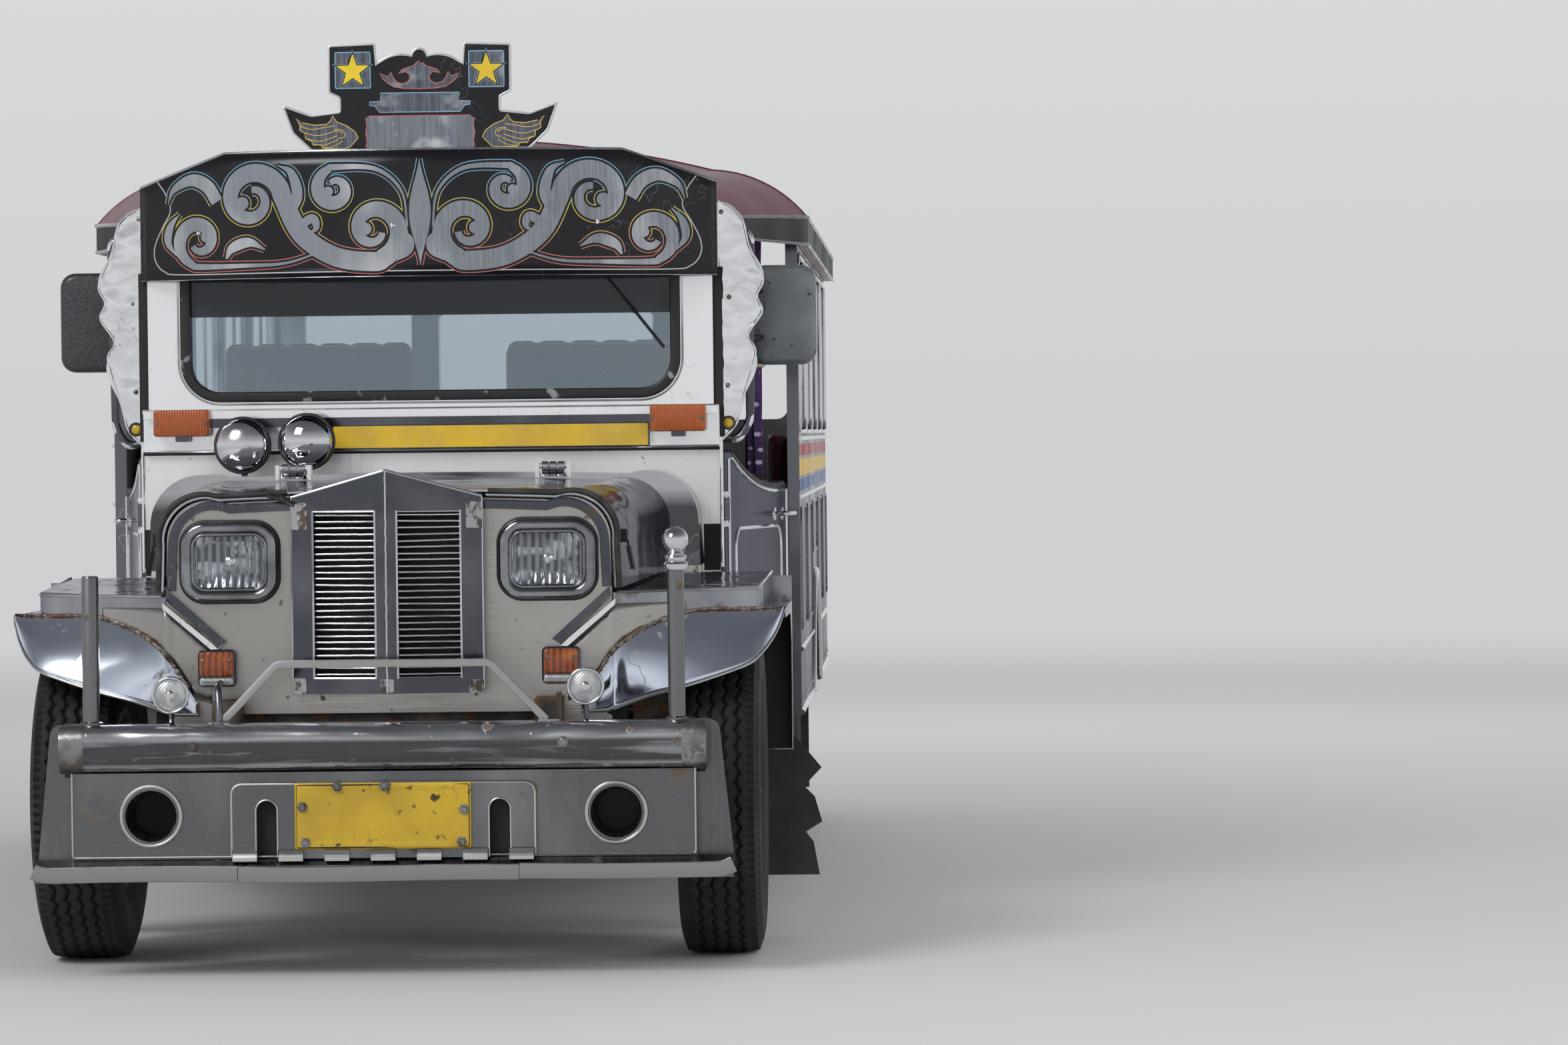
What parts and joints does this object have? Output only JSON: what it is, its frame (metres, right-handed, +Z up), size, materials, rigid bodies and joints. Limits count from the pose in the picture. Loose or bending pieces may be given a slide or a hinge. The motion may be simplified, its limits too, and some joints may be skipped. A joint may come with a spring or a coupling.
{
  "type": "passenger jeepney",
  "caption": "Long open-sided jeepney with a stainless nose, tall V grille, boxed bumper, sign board and crest, steered front wheels, opening hood and doors.",
  "frame": {"origin": "centre of the whole vehicle's outline on the ground", "axes": "+Z up, +X to the vehicle's left, the front faces -Y"},
  "size_m": [1.894, 5.8659, 2.1388],
  "materials": {
    "amber_lamps": "amber lens",
    "bench_seats": "maroon vinyl",
    "body_side_left": "dark gloss paint",
    "body_side_right": "dark gloss paint",
    "bumper_apron": "stained stainless sheet",
    "bumper_beam": "polished stainless, scratched",
    "bumper_guards": "dull steel tubes",
    "cab_seats": "black vinyl",
    "chassis_frame": "black paint, road dirt",
    "cowl": "brushed stainless",
    "curtains": "dark purple cloth",
    "door_left": "dark gloss paint",
    "door_right": "dark gloss paint",
    "driveline": "oily",
    "engine_block": "plain block",
    "exhaust": "rusty",
    "fender_left": "polished sheet, rusty weld",
    "fender_right": "polished sheet, rusty weld",
    "floor": "tread plate",
    "front_axle": "forged, greasy",
    "fuel_tank": "black paint",
    "grab_rails": "polished tube",
    "grille_shell": "polished, darker reflections",
    "grille_slats": "bright slats",
    "headlamp_bezels": "polished",
    "headlamp_lenses": "fluted sealed lens",
    "hood": "mirror-polished stainless",
    "knuckle_left": "forged",
    "knuckle_right": "forged",
    "leaf_springs": "oily spring steel",
    "mirrors": "moulded housing",
    "mud_flaps": "black rubber",
    "nose_panel": "warm brushed stainless",
    "radiator": "matt black",
    "rear_axle": "cast housing, greasy",
    "rear_frame": "stainless sheet",
    "rear_step": "worn steel",
    "roof": "metallic maroon",
    "round_lamps": "polished bowl",
    "sign_crest": "gloss black, silver edge",
    "sign_visor": "gloss black, silver edge",
    "steering_column": "black paint",
    "steering_wheel": "black rim",
    "tail_lamps": "red lens",
    "tie_rod": "black paint",
    "tyre_front_left": "worn black rubber",
    "tyre_front_right": "worn black rubber",
    "tyre_rear_left": "worn black rubber",
    "tyre_rear_right": "worn black rubber",
    "wheel_front_left": "grey rim, dark hub",
    "wheel_front_right": "grey rim, dark hub",
    "wheel_rear_left": "grey rim, dark hub",
    "wheel_rear_right": "grey rim, dark hub",
    "windscreen_frame": "wavy mirror stainless",
    "windscreen_glass": "clear",
    "wing_panels": "wavy mirror stainless"
  },
  "bodies": {
    "root": {"amber_lamps": "amber_lamps", "bench_seats": "bench_seats", "body_side_left": "body_side_left", "body_side_right": "body_side_right", "bumper_apron": "bumper_apron", "bumper_beam": "bumper_beam", "bumper_guards": "bumper_guards", "cab_seats": "cab_seats", "chassis_frame": "chassis_frame", "cowl": "cowl", "curtains": "curtains", "driveline": "driveline", "engine_block": "engine_block", "exhaust": "exhaust", "fender_left": "fender_left", "fender_right": "fender_right", "floor": "floor", "front_axle": "front_axle", "fuel_tank": "fuel_tank", "grab_rails": "grab_rails", "grille_shell": "grille_shell", "grille_slats": "grille_slats", "headlamp_bezels": "headlamp_bezels", "headlamp_lenses": "headlamp_lenses", "leaf_springs": "leaf_springs", "mirrors": "mirrors", "mud_flaps": "mud_flaps", "nose_panel": "nose_panel", "radiator": "radiator", "rear_axle": "rear_axle", "rear_frame": "rear_frame", "rear_step": "rear_step", "roof": "roof", "round_lamps": "round_lamps", "sign_crest": "sign_crest", "sign_visor": "sign_visor", "steering_column": "steering_column", "tail_lamps": "tail_lamps", "windscreen_frame": "windscreen_frame", "windscreen_glass": "windscreen_glass", "wing_panels": "wing_panels"},
    "knuckle_left_body": {"knuckle_left": "knuckle_left"},
    "knuckle_right_body": {"knuckle_right": "knuckle_right"},
    "tie_rod_body": {"tie_rod": "tie_rod"},
    "front_left_wheel": {"tyre_front_left": "tyre_front_left", "wheel_front_left": "wheel_front_left"},
    "front_right_wheel": {"tyre_front_right": "tyre_front_right", "wheel_front_right": "wheel_front_right"},
    "rear_left_wheel": {"tyre_rear_left": "tyre_rear_left", "wheel_rear_left": "wheel_rear_left"},
    "rear_right_wheel": {"tyre_rear_right": "tyre_rear_right", "wheel_rear_right": "wheel_rear_right"},
    "hood_body": {"hood": "hood"},
    "left_door": {"door_left": "door_left"},
    "right_door": {"door_right": "door_right"},
    "hand_wheel": {"steering_wheel": "steering_wheel"}
  },
  "joints": [
    {"name": "steer_left", "type": "hinge", "parent": "root", "child": "knuckle_left_body", "pos_m": [0.62, -2.32, 0.37], "axis": [0, 0, 1], "range_deg": [-28, 28]},
    {"name": "steer_right", "type": "hinge", "parent": "root", "child": "knuckle_right_body", "pos_m": [-0.62, -2.32, 0.37], "axis": [0, 0, 1], "range_deg": [-28, 28]},
    {"name": "tie_rod_pivot", "type": "hinge", "parent": "knuckle_left_body", "child": "tie_rod_body", "pos_m": [0.62, -2.17, 0.274], "axis": [0, 0, 1], "range_deg": [-28, 28]},
    {"name": "spin_front_left", "type": "hinge", "parent": "knuckle_left_body", "child": "front_left_wheel", "pos_m": [0.73, -2.32, 0.37], "axis": [1, 0, 0], "continuous": true},
    {"name": "spin_front_right", "type": "hinge", "parent": "knuckle_right_body", "child": "front_right_wheel", "pos_m": [-0.73, -2.32, 0.37], "axis": [1, 0, 0], "continuous": true},
    {"name": "spin_rear_left", "type": "hinge", "parent": "root", "child": "rear_left_wheel", "pos_m": [0.73, 0.98, 0.37], "axis": [1, 0, 0], "continuous": true},
    {"name": "spin_rear_right", "type": "hinge", "parent": "root", "child": "rear_right_wheel", "pos_m": [-0.73, 0.98, 0.37], "axis": [1, 0, 0], "continuous": true},
    {"name": "hood_hinge", "type": "hinge", "parent": "root", "child": "hood_body", "pos_m": [0, -1.785, 1.122], "axis": [-1, 0, 0], "range_deg": [0, 60]},
    {"name": "door_left_hinge", "type": "hinge", "parent": "root", "child": "left_door", "pos_m": [0.714, -1.513, 0.85], "axis": [0, 0, -1], "range_deg": [0, 65]},
    {"name": "door_right_hinge", "type": "hinge", "parent": "root", "child": "right_door", "pos_m": [-0.714, -1.513, 0.85], "axis": [0, 0, 1], "range_deg": [0, 65]},
    {"name": "steering_spin", "type": "hinge", "parent": "root", "child": "hand_wheel", "pos_m": [0.365, -1.23, 1.19], "axis": [0, 0.7812, 0.6243], "range_deg": [-448, 448]}
  ],
  "couplings": [
    {"joint": "steer_right", "follows": "steer_left", "ratio": 1},
    {"joint": "tie_rod_pivot", "follows": "steer_left", "ratio": -1},
    {"joint": "steering_spin", "follows": "steer_left", "ratio": 16}
  ]
}
